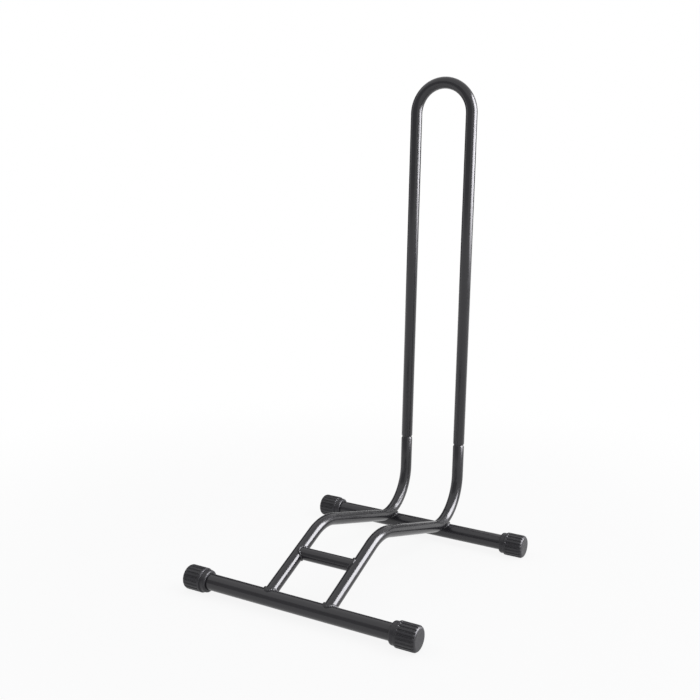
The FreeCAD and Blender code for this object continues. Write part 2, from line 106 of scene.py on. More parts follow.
# %% [markdown]
# ## Powder coat on steel
# Powder coat is a plastic resin, sprayed on dry and melted into a skin about 0.08 mm thick. It flows as it
# melts, which leaves a very shallow ripple called orange peel, and the skin is thicker in some places than
# in others, so its gloss and its shade drift a little. It could be drawn as one flat colour, but the drift
# is what tells the eye that a tube is coated. The peel is kept as low as it really is, because a deeper one
# would break the streaks of light on the tubes into specks.

# %% Powder coat: sizes
PEEL_WIDTH = 2.2 * MM  # from one crest of the orange peel to the next
PEEL_HEIGHT = 0.002 * MM
DRIFT_WIDTH = 45 * MM  # of the slow change in shade and gloss
NOISE_SPAN = (0.3, 0.7)  # nearly all the values of a noise lie between these
RESIN_IOR = 1.5
COAT_DARK = "#242326"
COAT_LIGHT = "#2b2a2f"
COAT_GLOSS = (0.17, 0.23)  # roughness where the skin is thick, and where it is thin
WELD_GLOSS = (0.34, 0.44)  # the coat lies thinner over a bead, so it shines less


# %% Powder coat: material
def powder_coat(name, peel_height, gloss_range):
    """Charcoal powder coat, sprayed and baked. Object coordinates keep the peel at its real size."""
    material = bpy.data.materials.new(name)
    material.use_nodes = True
    tree = material.node_tree
    place = add_node(tree, "ShaderNodeTexCoord").outputs["Object"]
    drift = add_node(tree, "ShaderNodeTexNoise", {"Vector": place, "Scale": 1 / DRIFT_WIDTH, "Detail": 2.0})
    peel = add_node(tree, "ShaderNodeTexNoise", {"Vector": place, "Scale": 1 / PEEL_WIDTH, "Detail": 1.0})
    shade = add_node(
        tree,
        "ShaderNodeMix",
        {0: drift.outputs["Fac"], 6: linear(COAT_DARK), 7: linear(COAT_LIGHT)},
        data_type="RGBA",
    )
    gloss = add_node(
        tree,
        "ShaderNodeMapRange",
        {
            "Value": drift.outputs["Fac"],
            "From Min": NOISE_SPAN[0],
            "From Max": NOISE_SPAN[1],
            "To Min": gloss_range[0],
            "To Max": gloss_range[1],
        },
    )
    bump = add_node(
        tree, "ShaderNodeBump", {"Strength": 1.0, "Distance": peel_height, "Height": peel.outputs["Fac"]}
    )
    skin = tree.nodes["Principled BSDF"]
    tree.links.new(shade.outputs[2], skin.inputs["Base Color"])
    tree.links.new(gloss.outputs[0], skin.inputs["Roughness"])
    tree.links.new(bump.outputs["Normal"], skin.inputs["Normal"])
    skin.inputs["IOR"].default_value = RESIN_IOR
    return material


COAT = powder_coat("powder_coat_charcoal_sprayed", PEEL_HEIGHT, COAT_GLOSS)
WELD_COAT = powder_coat("powder_coat_charcoal_over_weld", 2 * PEEL_HEIGHT, WELD_GLOSS)
print("coated materials:", COAT.name, "and", WELD_COAT.name)

# %% [markdown]
# ## Moulded polyethylene caps
# The caps are injection-moulded in a soft black plastic and pushed on. The mould was spark-eroded, which
# leaves a fine even grain and takes most of the gloss away, and handling rubs it a little smoother in
# patches. The grain is far finer than a pixel here, so it is drawn at half a millimetre.

# %% Cap plastic: sizes and material
GRAIN_WIDTH = 0.5 * MM
GRAIN_HEIGHT = 0.003 * MM
RUB_WIDTH = 12 * MM  # of the patches that handling has rubbed
PLASTIC_DARK = "#1b1a1e"
PLASTIC_LIGHT = "#27262c"
PLASTIC_GLOSS = (0.36, 0.48)  # roughness where it is rubbed, and where it isn't


def moulded_plastic(name):
    """Black polyethylene from a spark-eroded mould."""
    material = bpy.data.materials.new(name)
    material.use_nodes = True
    tree = material.node_tree
    place = add_node(tree, "ShaderNodeTexCoord").outputs["Object"]
    cloud = add_node(tree, "ShaderNodeTexNoise", {"Vector": place, "Scale": 1 / RUB_WIDTH, "Detail": 2.0})
    grain = add_node(tree, "ShaderNodeTexNoise", {"Vector": place, "Scale": 1 / GRAIN_WIDTH, "Detail": 2.0})
    shade = add_node(
        tree,
        "ShaderNodeMix",
        {0: cloud.outputs["Fac"], 6: linear(PLASTIC_DARK), 7: linear(PLASTIC_LIGHT)},
        data_type="RGBA",
    )
    gloss = add_node(
        tree,
        "ShaderNodeMapRange",
        {
            "Value": cloud.outputs["Fac"],
            "From Min": NOISE_SPAN[0],
            "From Max": NOISE_SPAN[1],
            "To Min": PLASTIC_GLOSS[0],
            "To Max": PLASTIC_GLOSS[1],
        },
    )
    bump = add_node(
        tree, "ShaderNodeBump", {"Strength": 1.0, "Distance": GRAIN_HEIGHT, "Height": grain.outputs["Fac"]}
    )
    skin = tree.nodes["Principled BSDF"]
    tree.links.new(shade.outputs[2], skin.inputs["Base Color"])
    tree.links.new(gloss.outputs[0], skin.inputs["Roughness"])
    tree.links.new(bump.outputs["Normal"], skin.inputs["Normal"])
    skin.inputs["IOR"].default_value = RESIN_IOR
    return material


PLASTIC = moulded_plastic("polyethylene_black_moulded")
print("cap material:", PLASTIC.name)

# %% [markdown]
# ## Zinc-plated spigots
# The spigots can't be coated, or the hoop wouldn't slide on, so they are plated with a few thousandths of a
# millimetre of zinc. It is a metal, so its colour is all in its reflection. The tube was turned to size
# before it was plated, and the fine rings that the tool left run round it: a wave along the spigot's axis.

# %% Spigot steel: sizes and material
RING_PITCH = 0.6 * MM  # of the turning marks, drawn coarser than real ones so that they show
RING_HEIGHT = 0.004 * MM
RING_WAVER = 1.5  # how far the marks stray from true rings
WAVE_PERIOD = math.tau / 20  # metres from crest to crest in a Wave texture of scale 1
CLOUD_WIDTH = 6 * MM  # of the duller patches in the plating
ZINC = "#b9bab6"
ZINC_GLOSS = (0.24, 0.42)


def plated_steel(name):
    """Turned steel tube under bright zinc."""
    material = bpy.data.materials.new(name)
    material.use_nodes = True
    tree = material.node_tree
    place = add_node(tree, "ShaderNodeTexCoord").outputs["Object"]
    rings = add_node(
        tree,
        "ShaderNodeTexWave",
        {"Vector": place, "Scale": WAVE_PERIOD / RING_PITCH, "Distortion": RING_WAVER},
        bands_direction="Z",
    )
    cloud = add_node(tree, "ShaderNodeTexNoise", {"Vector": place, "Scale": 1 / CLOUD_WIDTH, "Detail": 3.0})
    gloss = add_node(
        tree,
        "ShaderNodeMapRange",
        {"Value": cloud.outputs["Fac"], "To Min": ZINC_GLOSS[0], "To Max": ZINC_GLOSS[1]},
    )
    bump = add_node(
        tree, "ShaderNodeBump", {"Strength": 1.0, "Distance": RING_HEIGHT, "Height": rings.outputs["Fac"]}
    )
    skin = tree.nodes["Principled BSDF"]
    skin.inputs["Base Color"].default_value = linear(ZINC)
    skin.inputs["Metallic"].default_value = 1.0
    tree.links.new(gloss.outputs[0], skin.inputs["Roughness"])
    tree.links.new(bump.outputs["Normal"], skin.inputs["Normal"])
    return material


STEEL = plated_steel("steel_zinc_plated_turned")
print("spigot material:", STEEL.name)

# %% [markdown]
# ## Straight tubes and spigots keep their CAD shape
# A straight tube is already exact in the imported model, so its mesh stays and only its material changes. That
# covers both foot tubes, the rung, whose ends are coped to the rails, and the two spigots.

# %% Finish the CAD pieces that stay
for node in ("front_foot_tube", "rear_foot_tube", "rung"):
    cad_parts[node].material_slots[0].material = COAT
for node in ("spigot_left", "spigot_right"):
    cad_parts[node].material_slots[0].material = STEEL
print("kept from CAD: 2 foot tubes, 1 rung, 2 spigots")

# %% [markdown]
# ## From a modifier to a plain mesh
# Geometry Nodes make the bent tubes, the caps and the beads. A modifier's inputs are set by the identifiers
# of its sockets. Once the shape is right it is turned into a plain mesh, because what leaves Blender is the
# mesh. Seams are merged and the faces turned outwards, and edges sharper than a set angle stay crisp.

# %% Helpers: run a node tree, then bake the result
CRISP = math.radians(38)  # edges that turn by more than this stay sharp
SEAM = 0.0005 * MM  # points nearer than this are one point


def run_nodes(piece, tree, values):
    """Put a geometry tree on an object, with its inputs set by identifier."""
    modifier = piece.modifiers.new(tree.name, "NODES")
    modifier.node_group = tree
    for item in tree.interface.items_tree:
        if item.in_out == "INPUT" and item.name in values:
            modifier[item.identifier] = values[item.name]


def bake(piece):
    """Turn an object's evaluated shape into its own plain, closed mesh and drop its modifiers."""
    bpy.context.view_layer.update()
    seen = piece.evaluated_get(bpy.context.evaluated_depsgraph_get())
    mesh = bpy.data.meshes.new_from_object(seen)
    piece.modifiers.clear()
    piece.data = mesh
    mesh.name = piece.name
    shape = bmesh.new()
    shape.from_mesh(mesh)
    bmesh.ops.remove_doubles(shape, verts=shape.verts, dist=SEAM)
    bmesh.ops.recalc_face_normals(shape, faces=shape.faces)
    open_edges = sum(not edge.is_manifold for edge in shape.edges)
    shape.to_mesh(mesh)
    shape.free()
    mesh.shade_smooth()
    mesh.set_sharp_from_angle(angle=CRISP)
    print(f"{piece.name}: {len(mesh.polygons)} faces, {open_edges} open edges")
    return piece


def new_object(name, vertices, edges, **attributes):
    """An object of loose vertices and edges, with a named number on each vertex."""
    mesh = bpy.data.meshes.new(name)
    mesh.from_pydata([tuple(place) for place in vertices], edges, [])
    for attribute, numbers in attributes.items():
        mesh.attributes.new(attribute, "FLOAT", "POINT").data.foreach_set("value", numbers)
    made = bpy.data.objects.new(name, mesh)
    bpy.context.scene.collection.objects.link(made)
    return made


def new_tree(name, sockets):
    """A geometry tree with a geometry input and output, and these named inputs."""
    tree = bpy.data.node_groups.new(name, "GeometryNodeTree")
    tree.interface.new_socket("Geometry", in_out="OUTPUT", socket_type="NodeSocketGeometry")
    tree.interface.new_socket("Geometry", in_out="INPUT", socket_type="NodeSocketGeometry")
    for socket, kind in sockets.items():
        tree.interface.new_socket(socket, in_out="INPUT", socket_type=f"NodeSocket{kind}")
    return tree, tree.nodes.new("NodeGroupInput").outputs


def end_tree(tree, geometry, material):
    """Realize what a tree made, shade it smooth, give it its material and send it out."""
    real = add_node(tree, "GeometryNodeRealizeInstances", {"Geometry": geometry})
    smooth = add_node(tree, "GeometryNodeSetShadeSmooth", {"Geometry": real.outputs[0]})
    dressed = add_node(
        tree, "GeometryNodeSetMaterial", {"Geometry": smooth.outputs[0], "Material": material}
    )
    add_node(tree, "NodeGroupOutput", {"Geometry": dressed.outputs[0]})


# %% [markdown]
# ## Bent tube
# A bender pulls a straight tube round a die, so the path of each tube is nothing but its corners and the
# radius of the die at each. The tree below takes exactly that: a line of corner points that carry a bend
# radius and an outside radius. Fillet Curve rounds the corners, one Curve to Mesh sweeps the outside and a
# second the bore, and the rims are closed by growing each end edge inwards until it meets the bore.

# %% Tube tree: the path, the outside and the bore
tube_tree, given = new_tree(
    "bent_tube", {"Bore radius": "Float", "Sides": "Int", "Steps in a bend": "Int", "Material": "Material"}
)
bend_radius = add_node(tube_tree, "GeometryNodeInputNamedAttribute", {"Name": "bend_radius"})
tube_radius = add_node(tube_tree, "GeometryNodeInputNamedAttribute", {"Name": "tube_radius"})
corners = add_node(tube_tree, "GeometryNodeMeshToCurve", {"Mesh": given["Geometry"]})
path = add_node(
    tube_tree,
    "GeometryNodeFilletCurve",
    {"Curve": corners.outputs[0], "Count": given["Steps in a bend"], "Radius": bend_radius.outputs[0]},
    mode="POLY",
)
ring = add_node(
    tube_tree, "GeometryNodeCurvePrimitiveCircle", {"Resolution": given["Sides"], "Radius": 1.0}
)
outside = add_node(
    tube_tree,
    "GeometryNodeCurveToMesh",
    {"Curve": path.outputs[0], "Profile Curve": ring.outputs[0], "Scale": tube_radius.outputs[0]},
)
bore = add_node(
    tube_tree,
    "GeometryNodeCurveToMesh",
    {"Curve": path.outputs[0], "Profile Curve": ring.outputs[0], "Scale": given["Bore radius"]},
)
print("tube tree:", len(tube_tree.nodes), "nodes for the outside and the bore")

# %% Tube tree: close the rims
RIM_SEAM = 0.002 * MM  # between a rim's inner edge and the bore that it is joined to
faces_beside = add_node(tube_tree, "GeometryNodeInputMeshEdgeNeighbors")
is_rim = add_node(
    tube_tree,
    "FunctionNodeCompare",
    {2: faces_beside.outputs[0], 3: 1},
    data_type="INT",
    operation="EQUAL",
)
grown = add_node(
    tube_tree,
    "GeometryNodeExtrudeMesh",
    {"Mesh": outside.outputs[0], "Selection": is_rim.outputs[0], "Offset Scale": 0.0},
    mode="EDGES",
)
here = add_node(tube_tree, "GeometryNodeInputPosition")
nearest = add_node(tube_tree, "GeometryNodeSampleNearest", {"Geometry": bore.outputs[0]})
bore_point = add_node(
    tube_tree,
    "GeometryNodeSampleIndex",
    {"Geometry": bore.outputs[0], "Value": here.outputs[0], "Index": nearest.outputs[0]},
    data_type="FLOAT_VECTOR",
)
rims = add_node(
    tube_tree,
    "GeometryNodeSetPosition",
    {"Geometry": grown.outputs[0], "Selection": grown.outputs["Top"], "Position": bore_point.outputs[0]},
)
lining = add_node(tube_tree, "GeometryNodeFlipFaces", {"Mesh": bore.outputs[0]})
walls = add_node(tube_tree, "GeometryNodeJoinGeometry")
tube_tree.links.new(rims.outputs[0], walls.inputs[0])
tube_tree.links.new(lining.outputs[0], walls.inputs[0])
whole = add_node(
    tube_tree, "GeometryNodeMergeByDistance", {"Geometry": walls.outputs[0], "Distance": RIM_SEAM}
)
end_tree(tube_tree, whole.outputs[0], given["Material"])
print("tube tree:", len(tube_tree.nodes), "nodes with the rims closed")

# %% [markdown]
# ## Sizes of the tubes
# Places come from the frame: how far apart the legs stand, where they meet the hoop and how high it reaches.
# What a box can't tell, such as the slopes and the radii of the bends, is repeated here.

# %% Tube sizes
TUBE_SIDES = 64
BEND_STEPS = 28
TUBE_WALL = 1.5 * MM
TAPER_DEPTH = 1.3 * MM  # the tube ends at a joint draw in by this much ...
TAPER_LENGTH = 2.6 * MM  # ... over this much of their length
FRONT_SLOPE = math.radians(25)
REAR_SLOPE = math.radians(15)
FRONT_RISE = 2.5 * MM  # the rails' axis passes this far above the front foot tube's axis
HUMP_RADIUS = 74 * MM
REAR_BEND = 62 * MM
ROOT_GAP = 0.3 * MM  # between a rail and the rear foot tube
COPE_LEAD = 22 * MM  # from the front foot tube's axis to an extra ring, where the long faces start

hoop_low, hoop_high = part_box("hoop")
TUBE_R = round((hoop_high.y - hoop_low.y) / 2 / MM, 1) * MM
LEG_Y = (hoop_high.y + hoop_low.y) / 2
RAIL_X = hoop_high.x - TUBE_R
JOINT_Z = hoop_low.z
HOOP_TOP = hoop_high.z - TUBE_R
front_low, front_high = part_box("front_foot_tube")
rear_low, rear_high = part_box("rear_foot_tube")
FOOT_R = (front_high.y - front_low.y) / 2
FOOT_Z = (front_high.z + front_low.z) / 2
FRONT_Y = (front_high.y + front_low.y) / 2
REAR_Y = (rear_high.y + rear_low.y) / 2
SLOPE_Z = FOOT_Z + FRONT_RISE
UP_SLOPE = Vector((0, math.cos(FRONT_SLOPE), math.sin(FRONT_SLOPE)))
OFF_SLOPE = Vector((0, -math.sin(FRONT_SLOPE), math.cos(FRONT_SLOPE)))
DOWN_SLOPE = Vector((0, math.cos(REAR_SLOPE), -math.sin(REAR_SLOPE)))
print(f"tube {2 * TUBE_R / MM:.1f} mm, legs at x {RAIL_X / MM:.1f} and y {LEG_Y / MM:.1f} mm")
print(f"foot tubes {2 * FOOT_R / MM:.1f} mm, at y {FRONT_Y / MM:.1f} and {REAR_Y / MM:.1f} mm")


# %% A tube from its corners
def bent_tube(name, stations):
    """A tube object from (place, bend radius, outside radius) at each station along its path."""
    places, bends, radii = zip(*stations)
    edges = [(number, number + 1) for number in range(len(places) - 1)]
    tube = new_object(name, places, edges, bend_radius=bends, tube_radius=radii)
    values = {
        "Bore radius": TUBE_R - TUBE_WALL,
        "Sides": TUBE_SIDES,
        "Steps in a bend": BEND_STEPS,
        "Material": COAT,
    }
    run_nodes(tube, tube_tree, values)
    return tube


# %% [markdown]
# ## The hoop
# Its two corners are bent round one die, whose radius is half the distance between the legs, so together
# they make the half circle at its top.
# Both ends draw in, which makes the V-shaped line that shows where the hoop stands on its legs.

# %% Hoop
U_SEAM = 0.02 * MM  # of straight tube between the two quarter bends, so that no two rings coincide


def hoop_end(side):
    """The two stations at one end of the hoop, from its rim to the full tube."""
    rim = Vector((side * RAIL_X, LEG_Y, JOINT_Z))
    full = rim + Vector((0, 0, TAPER_LENGTH))
    return [(rim, 0.0, TUBE_R - TAPER_DEPTH), (full, 0.0, TUBE_R)]


left_end, right_end = hoop_end(-1), hoop_end(1)
top = [(Vector((side * RAIL_X, LEG_Y, HOOP_TOP)), RAIL_X - U_SEAM / 2, TUBE_R) for side in (-1, 1)]
hoop = bake(bent_tube("hoop_tube", left_end + top + right_end[::-1]))
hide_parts("hoop")
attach(hoop, "hoop")

# %% [markdown]
# ## The rails
# A rail climbs from the front foot tube, bends over the hump, runs down to the rear foot tube, bends over it
# and ends upright. The rear bend lies on the foot tube, which fixes its centre, and the two slopes meet at
# the hump's corner. The foot of the rail was cut with a hole saw to fit the foot tube, so a Boolean takes a
# cylinder of that tube's size out of it.

# %% Rail path
bend_y = LEG_Y - REAR_BEND
crossing = REAR_BEND + TUBE_R + FOOT_R + ROOT_GAP
bend_z = FOOT_Z + math.sqrt(crossing**2 - (bend_y - REAR_Y) ** 2)
up_from_slope = Vector((0, math.sin(REAR_SLOPE), math.cos(REAR_SLOPE)))
slope_foot = Vector((0, bend_y, bend_z)) - REAR_BEND * up_from_slope
rail_foot = Vector((0, FRONT_Y, SLOPE_Z))
reach = slope_foot - rail_foot
spread = math.sin(FRONT_SLOPE + REAR_SLOPE)
climb = (reach.y * math.sin(REAR_SLOPE) + reach.z * math.cos(REAR_SLOPE)) / spread
hump_corner = rail_foot + climb * UP_SLOPE
rear_corner = slope_foot + (LEG_Y - slope_foot.y) / DOWN_SLOPE.y * DOWN_SLOPE
print("hump corner in mm:", [round(value / MM, 1) for value in hump_corner])
print("rear corner in mm:", [round(value / MM, 1) for value in rear_corner])


# %% Rails
def saw_round(piece, cutter):
    """Take the cutter's shape out of a piece."""
    saw = piece.modifiers.new("saw", "BOOLEAN")
    saw.operation = "DIFFERENCE"
    saw.solver = "EXACT"
    saw.object = cutter


def cylinder_across(name, radius, length, y, z, sides):
    """A closed cylinder along X, used only as a cutter."""
    shape = bmesh.new()
    turn = Matrix.Translation((0, y, z)) @ Matrix.Rotation(math.pi / 2, 4, "Y")
    bmesh.ops.create_cone(
        shape, cap_ends=True, segments=sides, radius1=radius, radius2=radius, depth=length, matrix=turn
    )
    cutter = new_object(name, [], [])
    shape.to_mesh(cutter.data)
    shape.free()
    return cutter


SAW_SIDES = 128
hole_saw = cylinder_across("hole_saw", FOOT_R, 3 * RAIL_X, FRONT_Y, FOOT_Z, SAW_SIDES)
leg_top = Vector((0, LEG_Y, JOINT_Z))
rail_stations = [
    (rail_foot, 0.0, TUBE_R),
    (rail_foot + COPE_LEAD * UP_SLOPE, 0.0, TUBE_R),
    (hump_corner, HUMP_RADIUS, TUBE_R),
    (rear_corner, REAR_BEND, TUBE_R),
    (leg_top - Vector((0, 0, TAPER_LENGTH)), 0.0, TUBE_R),
    (leg_top, 0.0, TUBE_R - TAPER_DEPTH),
]
for name, side in (("left", -1), ("right", 1)):
    across = Vector((side * RAIL_X, 0, 0))
    stations = [(place + across, bend, size) for place, bend, size in rail_stations]
    rail = bent_tube(f"rail_tube_{name}", stations)
    saw_round(rail, hole_saw)
    bake(rail)
    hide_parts(f"rail_{name}")
    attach(rail, "base")
bpy.data.objects.remove(hole_saw)

# %% [markdown]
# ## Weld beads
# A welder's bead is a row of overlapping puddles, each a step further along the corner between two tubes.
# The corner is a curve that the tubes' radii give by formula. The tree sweeps a round bead along it and lets
# its thickness rise and fall once for each puddle, with a little seeded unevenness, because no hand is
# steady. Only the part that stands out of the corner shows. The rest lies inside the tubes' walls.

# %% Bead tree: the ripple of the puddles
bead_tree, given = new_tree(
    "weld_bead",
    {
        "Bead radius": "Float",
        "Puddle pitch": "Float",
        "Puddle depth": "Float",
        "Unevenness": "Float",
        "Seed": "Float",
        "Step": "Float",
        "Sides": "Int",
        "Material": "Material",
    },
)
corner = add_node(bead_tree, "GeometryNodeMeshToCurve", {"Mesh": given["Geometry"]})
stepped = add_node(
    bead_tree,
    "GeometryNodeResampleCurve",
    {"Curve": corner.outputs[0], "Length": given["Step"]},
    mode="LENGTH",
)
along = add_node(bead_tree, "GeometryNodeSplineParameter")
puddle = maths(bead_tree, "DIVIDE", along.outputs["Length"], given["Puddle pitch"])
half_turn = maths(bead_tree, "MULTIPLY", puddle, math.pi)
crown = maths(bead_tree, "ABSOLUTE", maths(bead_tree, "SINE", half_turn))
dip = maths(bead_tree, "SUBTRACT", 1.0, crown)
groove = maths(bead_tree, "MULTIPLY", dip, given["Puddle depth"])
print("bead tree:", len(bead_tree.nodes), "nodes for the ripple")

# %% Bead tree: the unevenness, and the bead itself
WANDER_WIDTH = 5 * MM  # along the bead, of its seeded unevenness
spot = add_node(bead_tree, "GeometryNodeInputPosition")
wander = add_node(
    bead_tree,
    "ShaderNodeTexNoise",
    {"Vector": spot.outputs[0], "W": given["Seed"], "Scale": 1 / WANDER_WIDTH, "Detail": 1.0},
    noise_dimensions="4D",
)
swing = maths(bead_tree, "SUBTRACT", wander.outputs["Fac"], 0.5)
uneven = maths(bead_tree, "MULTIPLY", swing, given["Unevenness"])
full_bead = maths(bead_tree, "ADD", 1.0, uneven)
share = maths(bead_tree, "SUBTRACT", full_bead, groove)
thickness = maths(bead_tree, "MULTIPLY", share, given["Bead radius"])
section = add_node(
    bead_tree, "GeometryNodeCurvePrimitiveCircle", {"Resolution": given["Sides"], "Radius": 1.0}
)
bead_mesh = add_node(
    bead_tree,
    "GeometryNodeCurveToMesh",
    {"Curve": stepped.outputs[0], "Profile Curve": section.outputs[0], "Scale": thickness},
)
end_tree(bead_tree, bead_mesh.outputs[0], given["Material"])
print("bead tree:", len(bead_tree.nodes), "nodes in all")

# %% Where the beads run
CORNER_POINTS = 96  # along each corner
RUNG_END = 3 * MM  # from a rail's axis to the end of the rung
rung_low, rung_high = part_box("rung")
RUNG_R = (rung_high.y - rung_low.y) / 2
RUNG_CENTRE = (rung_low + rung_high) / 2


def front_corner(turn, side):
    """Where a rail's surface meets the front foot tube, at an angle round the rail."""
    off = FRONT_RISE * math.cos(FRONT_SLOPE) + TUBE_R * math.sin(turn)
    up = math.sqrt(FOOT_R**2 - off**2)
    across = Vector((side * RAIL_X + TUBE_R * math.cos(turn), FRONT_Y, FOOT_Z))
    return across + off * OFF_SLOPE + up * UP_SLOPE


def rung_corner(turn, side):
    """Where the rung's surface meets a rail, at an angle round the rung."""
    off = RUNG_R * math.sin(turn)
    inward = math.sqrt(max(TUBE_R**2 - off**2, RUNG_END**2))
    across = Vector((side * (RAIL_X - inward), RUNG_CENTRE.y, RUNG_CENTRE.z))
    return across + off * OFF_SLOPE + RUNG_R * math.cos(turn) * UP_SLOPE


# %% [markdown]
# The rails don't end on the rear foot tube but cross over it, so there the corner is a crevice all round the
# spot where they touch. At any distance from that spot one surface has dropped away and the other has
# curved up, and the bead lies half way between them.

# %% The crevice where a rail crosses the rear foot tube
CREVICE = 6.6 * MM  # from the touching spot to the middle of the bead
touch_tilt = math.asin((REAR_Y - bend_y) / crossing)
TOUCH_OUT = Vector((0, -math.sin(touch_tilt), math.cos(touch_tilt)))
TOUCH_ALONG = Vector((0, math.cos(touch_tilt), math.sin(touch_tilt)))


def rear_corner_at(turn, side):
    """The middle of the crevice, at an angle round the touching spot."""
    beside, along_rail = CREVICE * math.cos(turn), CREVICE * math.sin(turn)
    rail_side = beside**2 / (2 * TUBE_R) + along_rail**2 / (2 * (REAR_BEND + TUBE_R))
    foot_side = along_rail**2 / (2 * FOOT_R)
    out = FOOT_R + ROOT_GAP / 2 + (rail_side - foot_side) / 2
    spot = Vector((side * RAIL_X + beside, REAR_Y, FOOT_Z))
    return spot + along_rail * TOUCH_ALONG + out * TOUCH_OUT


# %% Weld beads
PUDDLE_PITCH = 2.4 * MM
PUDDLE_DEPTH = 0.10  # share of the bead's radius that is missing between two puddles
UNEVENNESS = 0.3  # the most that the radius can differ along a bead, as a share of it
BEAD_STEP = 0.3 * MM
BEAD_SIDES = 20
WELDS = (  # where, the curve, the bead's radius, and the seed of its unevenness
    ("front", front_corner, 2.3 * MM, 5),
    ("rung", rung_corner, 1.9 * MM, 4),
    ("rear", rear_corner_at, 2.4 * MM, 4),
)
for place_name, corner_at, bead_radius, seed in WELDS:
    for name, side in (("left", -1), ("right", 1)):
        points = [corner_at(math.tau * number / CORNER_POINTS, side) for number in range(CORNER_POINTS)]
        edges = [(number, (number + 1) % CORNER_POINTS) for number in range(CORNER_POINTS)]
        bead = new_object(f"bead_{place_name}_{name}", points, edges)
        values = {
            "Bead radius": bead_radius,
            "Puddle pitch": PUDDLE_PITCH,
            "Puddle depth": PUDDLE_DEPTH,
            "Unevenness": UNEVENNESS,
            "Seed": float(seed + side),
            "Step": BEAD_STEP,
            "Sides": BEAD_SIDES,
            "Material": WELD_COAT,
        }
        run_nodes(bead, bead_tree, values)
        bake(bead)
        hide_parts(f"weld_{place_name}_{name}")
        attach(bead, "base")

# %% [markdown]
# ## Ribbed caps
# A cap is a turned shape with grooves pressed into it, and that is how it is made here too. The Screw
# modifier turns its section about the tube's axis. A geometry tree then presses the grooves: each point of
# the wall moves inwards by an amount that depends on how far round the axis and how far along it the point
# lies. Booleans would cut the same grooves with knife edges, but a moulded cap has soft ones.

# %% Flute tree: how far a point lies from the middle of a groove
flute_tree, given = new_tree(
    "cap_flutes",
    {
        "Count": "Int",
        "Depth": "Float",
        "Half width": "Float",
        "Soft edge": "Float",
        "Start": "Float",
        "End": "Float",
        "Wall from": "Float",
        "Floor": "Float",
        "Material": "Material",
    },
)
point = add_node(flute_tree, "GeometryNodeInputPosition")
axes = add_node(flute_tree, "ShaderNodeSeparateXYZ", {0: point.outputs[0]}).outputs
downward = maths(flute_tree, "MULTIPLY", axes[2], -1.0)
angle = maths(flute_tree, "ARCTAN2", axes[1], downward)
flat_spot = add_node(flute_tree, "ShaderNodeCombineXYZ", {1: axes[1], 2: axes[2]}).outputs[0]
radius = add_node(flute_tree, "ShaderNodeVectorMath", {0: flat_spot}, operation="LENGTH").outputs["Value"]
outward = add_node(flute_tree, "ShaderNodeVectorMath", {0: flat_spot}, operation="NORMALIZE").outputs[0]
turns = maths(flute_tree, "DIVIDE", angle, math.tau)
ribs = maths(flute_tree, "MULTIPLY", turns, given["Count"])
past_rib = maths(flute_tree, "FLOORED_MODULO", ribs, 1.0)
from_groove = maths(flute_tree, "SUBTRACT", past_rib, 0.5)
share_off = maths(flute_tree, "ABSOLUTE", from_groove)
round_length = maths(flute_tree, "MULTIPLY", radius, math.tau)
pitch = maths(flute_tree, "DIVIDE", round_length, given["Count"])
off = maths(flute_tree, "MULTIPLY", share_off, pitch)
print("flute tree:", len(flute_tree.nodes), "nodes to find the nearest groove")


# %% Flute tree: how deep the groove is there
def soft_step(value, low, high):
    """A field that eases from nought at low to one at high."""
    eased = add_node(
        flute_tree,
        "ShaderNodeMapRange",
        {"Value": value, "From Min": low, "From Max": high, "To Min": 0.0, "To Max": 1.0},
        interpolation_type="SMOOTHSTEP",
    )
    return eased.outputs[0]


groove_floor = maths(flute_tree, "SUBTRACT", given["Half width"], given["Soft edge"])
in_groove = soft_step(off, given["Half width"], groove_floor)
full_from = maths(flute_tree, "ADD", given["Start"], given["Soft edge"])
after_start = soft_step(axes[0], given["Start"], full_from)
full_to = maths(flute_tree, "SUBTRACT", given["End"], given["Soft edge"])
before_end = soft_step(axes[0], given["End"], full_to)
on_wall = maths(flute_tree, "GREATER_THAN", radius, given["Wall from"])
begun = maths(flute_tree, "MULTIPLY", in_groove, after_start)
not_ended = maths(flute_tree, "MULTIPLY", before_end, on_wall)
mask = maths(flute_tree, "MULTIPLY", begun, not_ended)
depth = maths(flute_tree, "MULTIPLY", mask, given["Depth"])
press = maths(flute_tree, "MULTIPLY", depth, -1.0)
print("flute tree:", len(flute_tree.nodes), "nodes with the depth")

# %% Flute tree: press the grooves, and keep the cap above the floor
shift = add_node(flute_tree, "ShaderNodeVectorMath", {0: outward, "Scale": press}, operation="SCALE")
pressed = add_node(
    flute_tree, "GeometryNodeSetPosition", {"Geometry": given["Geometry"], "Offset": shift.outputs[0]}
)
pressed_point = add_node(flute_tree, "GeometryNodeInputPosition")
pressed_axes = add_node(flute_tree, "ShaderNodeSeparateXYZ", {0: pressed_point.outputs[0]}).outputs
above_floor = maths(flute_tree, "MAXIMUM", pressed_axes[2], given["Floor"])
lifted = add_node(
    flute_tree, "ShaderNodeCombineXYZ", {0: pressed_axes[0], 1: pressed_axes[1], 2: above_floor}
)
rested = add_node(
    flute_tree, "GeometryNodeSetPosition", {"Geometry": pressed.outputs[0], "Position": lifted.outputs[0]}
)
end_tree(flute_tree, rested.outputs[0], given["Material"])
print("flute tree:", len(flute_tree.nodes), "nodes in all")

# %% [markdown]
# The section runs from the middle of the closed end, out and over the rounded rim, along the ribbed wall,
# down the step to the collar, and back through the bore. Each corner is given by its place along the tube's
# axis, its distance from that axis, and the radius that rounds it.

